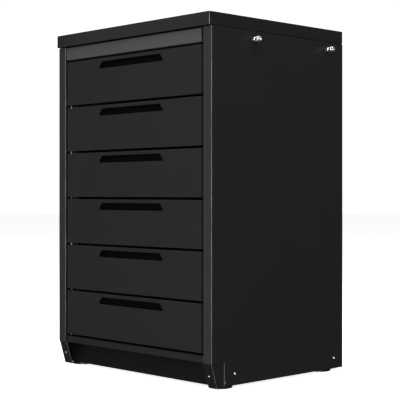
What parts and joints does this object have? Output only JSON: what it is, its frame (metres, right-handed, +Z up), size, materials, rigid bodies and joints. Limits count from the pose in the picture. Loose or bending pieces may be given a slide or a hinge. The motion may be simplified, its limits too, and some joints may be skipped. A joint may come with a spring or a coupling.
{
  "type": "drawer cabinet",
  "caption": "Tall steel workshop drawer cabinet with recessed finger pulls, folded top cover, set-back plinth, levelling feet and side joining bolts.",
  "frame": {"origin": "on the floor under the middle of the chest, midway between its sides and between the front of its top cover and its back", "axes": "+Z up, the drawers open towards -Y, +X to the right of someone facing the drawers"},
  "size_m": [0.641, 0.497, 0.9],
  "materials": {
    "black_paint": "satin black powder coat",
    "post_paint": "satin charcoal powder coat",
    "strip_paint": "satin dark grey",
    "black_plastic": "matt black moulding",
    "zinc_plate": "bright zinc plate",
    "foot_rubber": "matt black rubber"
  },
  "bodies": {
    "cabinet": {"top_cover": "black_paint", "left_side_panel": "post_paint", "right_side_panel": "post_paint", "back_panel": "black_paint", "base_panel": "black_paint", "bottom_front_rail": "black_paint", "header_strip": "strip_paint", "top_front_rail": "black_paint", "left_runner_rack": "zinc_plate", "right_runner_rack": "zinc_plate", "plinth_front_panel": "black_paint", "plinth_back_panel": "black_paint", "plinth_left_panel": "black_paint", "plinth_left_corner": "black_paint", "plinth_right_panel": "black_paint", "plinth_right_corner": "black_paint", "front_foot_channel": "black_paint", "rear_foot_channel": "black_paint", "left_front_joining_bolt": "zinc_plate", "right_front_joining_bolt": "zinc_plate", "left_rear_joining_bolt": "zinc_plate", "right_rear_joining_bolt": "zinc_plate"},
    "front_left_foot": {"front_left_foot_pad": "foot_rubber", "front_left_foot_screw": "zinc_plate"},
    "front_right_foot": {"front_right_foot_pad": "foot_rubber", "front_right_foot_screw": "zinc_plate"},
    "rear_left_foot": {"rear_left_foot_pad": "foot_rubber", "rear_left_foot_screw": "zinc_plate"},
    "rear_right_foot": {"rear_right_foot_pad": "foot_rubber", "rear_right_foot_screw": "zinc_plate"},
    "drawer_1": {"drawer_1_front": "black_paint", "drawer_1_finger_pull": "black_plastic", "drawer_1_tray": "black_paint"},
    "drawer_1_left_member": {"drawer_1_left_slide_member": "zinc_plate"},
    "drawer_1_right_member": {"drawer_1_right_slide_member": "zinc_plate"},
    "drawer_2": {"drawer_2_front": "black_paint", "drawer_2_finger_pull": "black_plastic", "drawer_2_tray": "black_paint"},
    "drawer_2_left_member": {"drawer_2_left_slide_member": "zinc_plate"},
    "drawer_2_right_member": {"drawer_2_right_slide_member": "zinc_plate"},
    "drawer_3": {"drawer_3_front": "black_paint", "drawer_3_finger_pull": "black_plastic", "drawer_3_tray": "black_paint"},
    "drawer_3_left_member": {"drawer_3_left_slide_member": "zinc_plate"},
    "drawer_3_right_member": {"drawer_3_right_slide_member": "zinc_plate"},
    "drawer_4": {"drawer_4_front": "black_paint", "drawer_4_finger_pull": "black_plastic", "drawer_4_tray": "black_paint"},
    "drawer_4_left_member": {"drawer_4_left_slide_member": "zinc_plate"},
    "drawer_4_right_member": {"drawer_4_right_slide_member": "zinc_plate"},
    "drawer_5": {"drawer_5_front": "black_paint", "drawer_5_finger_pull": "black_plastic", "drawer_5_tray": "black_paint"},
    "drawer_5_left_member": {"drawer_5_left_slide_member": "zinc_plate"},
    "drawer_5_right_member": {"drawer_5_right_slide_member": "zinc_plate"},
    "drawer_6": {"drawer_6_front": "black_paint", "drawer_6_finger_pull": "black_plastic", "drawer_6_tray": "black_paint"},
    "drawer_6_left_member": {"drawer_6_left_slide_member": "zinc_plate"},
    "drawer_6_right_member": {"drawer_6_right_slide_member": "zinc_plate"}
  },
  "joints": [
    {"name": "front_left_foot_wind_down", "type": "slide", "parent": "cabinet", "child": "front_left_foot", "axis": [0, 0, -1], "range_m": [0, 0.02]},
    {"name": "front_right_foot_wind_down", "type": "slide", "parent": "cabinet", "child": "front_right_foot", "axis": [0, 0, -1], "range_m": [0, 0.02]},
    {"name": "rear_left_foot_wind_down", "type": "slide", "parent": "cabinet", "child": "rear_left_foot", "axis": [0, 0, -1], "range_m": [0, 0.02]},
    {"name": "rear_right_foot_wind_down", "type": "slide", "parent": "cabinet", "child": "rear_right_foot", "axis": [0, 0, -1], "range_m": [0, 0.02]},
    {"name": "drawer_1_slide", "type": "slide", "parent": "cabinet", "child": "drawer_1", "axis": [0, -1, 0], "range_m": [0, 0.4]},
    {"name": "drawer_1_left_member_slide", "type": "slide", "parent": "cabinet", "child": "drawer_1_left_member", "axis": [0, -1, 0], "range_m": [0, 0.2]},
    {"name": "drawer_1_right_member_slide", "type": "slide", "parent": "cabinet", "child": "drawer_1_right_member", "axis": [0, -1, 0], "range_m": [0, 0.2]},
    {"name": "drawer_2_slide", "type": "slide", "parent": "cabinet", "child": "drawer_2", "axis": [0, -1, 0], "range_m": [0, 0.4]},
    {"name": "drawer_2_left_member_slide", "type": "slide", "parent": "cabinet", "child": "drawer_2_left_member", "axis": [0, -1, 0], "range_m": [0, 0.2]},
    {"name": "drawer_2_right_member_slide", "type": "slide", "parent": "cabinet", "child": "drawer_2_right_member", "axis": [0, -1, 0], "range_m": [0, 0.2]},
    {"name": "drawer_3_slide", "type": "slide", "parent": "cabinet", "child": "drawer_3", "axis": [0, -1, 0], "range_m": [0, 0.4]},
    {"name": "drawer_3_left_member_slide", "type": "slide", "parent": "cabinet", "child": "drawer_3_left_member", "axis": [0, -1, 0], "range_m": [0, 0.2]},
    {"name": "drawer_3_right_member_slide", "type": "slide", "parent": "cabinet", "child": "drawer_3_right_member", "axis": [0, -1, 0], "range_m": [0, 0.2]},
    {"name": "drawer_4_slide", "type": "slide", "parent": "cabinet", "child": "drawer_4", "axis": [0, -1, 0], "range_m": [0, 0.4]},
    {"name": "drawer_4_left_member_slide", "type": "slide", "parent": "cabinet", "child": "drawer_4_left_member", "axis": [0, -1, 0], "range_m": [0, 0.2]},
    {"name": "drawer_4_right_member_slide", "type": "slide", "parent": "cabinet", "child": "drawer_4_right_member", "axis": [0, -1, 0], "range_m": [0, 0.2]},
    {"name": "drawer_5_slide", "type": "slide", "parent": "cabinet", "child": "drawer_5", "axis": [0, -1, 0], "range_m": [0, 0.4]},
    {"name": "drawer_5_left_member_slide", "type": "slide", "parent": "cabinet", "child": "drawer_5_left_member", "axis": [0, -1, 0], "range_m": [0, 0.2]},
    {"name": "drawer_5_right_member_slide", "type": "slide", "parent": "cabinet", "child": "drawer_5_right_member", "axis": [0, -1, 0], "range_m": [0, 0.2]},
    {"name": "drawer_6_slide", "type": "slide", "parent": "cabinet", "child": "drawer_6", "axis": [0, -1, 0], "range_m": [0, 0.4]},
    {"name": "drawer_6_left_member_slide", "type": "slide", "parent": "cabinet", "child": "drawer_6_left_member", "axis": [0, -1, 0], "range_m": [0, 0.2]},
    {"name": "drawer_6_right_member_slide", "type": "slide", "parent": "cabinet", "child": "drawer_6_right_member", "axis": [0, -1, 0], "range_m": [0, 0.2]}
  ],
  "couplings": [
    {"joint": "drawer_1_left_member_slide", "follows": "drawer_1_slide", "ratio": 0.5},
    {"joint": "drawer_1_right_member_slide", "follows": "drawer_1_slide", "ratio": 0.5},
    {"joint": "drawer_2_left_member_slide", "follows": "drawer_2_slide", "ratio": 0.5},
    {"joint": "drawer_2_right_member_slide", "follows": "drawer_2_slide", "ratio": 0.5},
    {"joint": "drawer_3_left_member_slide", "follows": "drawer_3_slide", "ratio": 0.5},
    {"joint": "drawer_3_right_member_slide", "follows": "drawer_3_slide", "ratio": 0.5},
    {"joint": "drawer_4_left_member_slide", "follows": "drawer_4_slide", "ratio": 0.5},
    {"joint": "drawer_4_right_member_slide", "follows": "drawer_4_slide", "ratio": 0.5},
    {"joint": "drawer_5_left_member_slide", "follows": "drawer_5_slide", "ratio": 0.5},
    {"joint": "drawer_5_right_member_slide", "follows": "drawer_5_slide", "ratio": 0.5},
    {"joint": "drawer_6_left_member_slide", "follows": "drawer_6_slide", "ratio": 0.5},
    {"joint": "drawer_6_right_member_slide", "follows": "drawer_6_slide", "ratio": 0.5}
  ]
}
